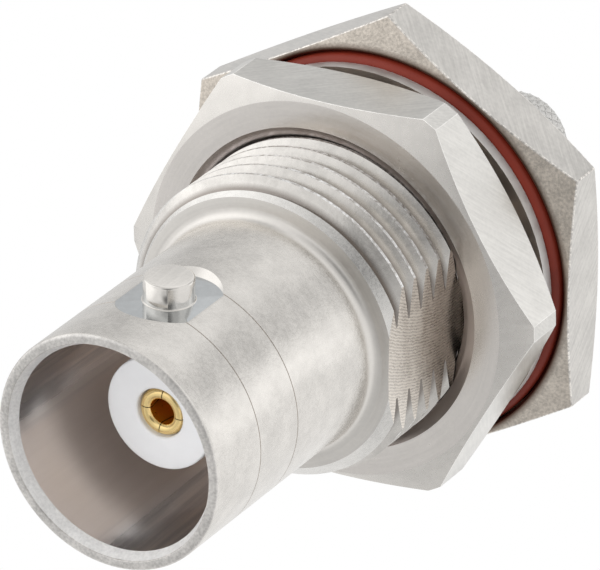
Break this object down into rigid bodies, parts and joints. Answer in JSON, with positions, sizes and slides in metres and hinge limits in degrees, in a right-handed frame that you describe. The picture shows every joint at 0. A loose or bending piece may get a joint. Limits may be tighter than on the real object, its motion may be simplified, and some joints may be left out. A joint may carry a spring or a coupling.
{
  "type": "bulkhead BNC connector jack",
  "caption": "Round coaxial panel jack: bayonet barrel with studs and centre socket, threaded bulkhead body with hex flange and seal, panel nut, lock washer and crimp tail.",
  "frame": {"origin": "on the connector's axis, in the plane where the hex flange's front face meets the panel", "axes": "-Y along the axis out of the mouth, +Y towards the cable; the bayonet studs stand on +Z and -Z; the thread's anti-turn flat faces +X"},
  "size_m": [0.0182, 0.0313, 0.0196],
  "materials": {
    "nickel_plate": "satin nickel plate on turned brass",
    "white_insulator": "matt white fluoropolymer",
    "gold_plate": "bright gold plate",
    "red_silicone": "satin brick red silicone",
    "plated_steel": "nickel plated spring steel"
  },
  "bodies": {
    "jack": {"body": "nickel_plate", "front_insulator": "white_insulator", "rear_insulator": "white_insulator", "centre_contact": "gold_plate", "crimp_spigot": "nickel_plate", "seal_ring": "red_silicone"},
    "washer": {"lock_washer": "plated_steel"},
    "nut": {"hex_nut": "nickel_plate"}
  },
  "joints": [
    {"name": "washer_slide", "type": "slide", "parent": "jack", "child": "washer", "axis": [0, -1, 0], "range_m": [0, 0.00545]},
    {"name": "nut_turn", "type": "hinge", "parent": "washer", "child": "nut", "pos_m": [0, -0.00278, 0], "axis": [0, -1, 0], "range_deg": [0, 2160]}
  ],
  "couplings": [
    {"joint": "washer_slide", "follows": "nut_turn", "m_per_rad": 0.00014435}
  ]
}
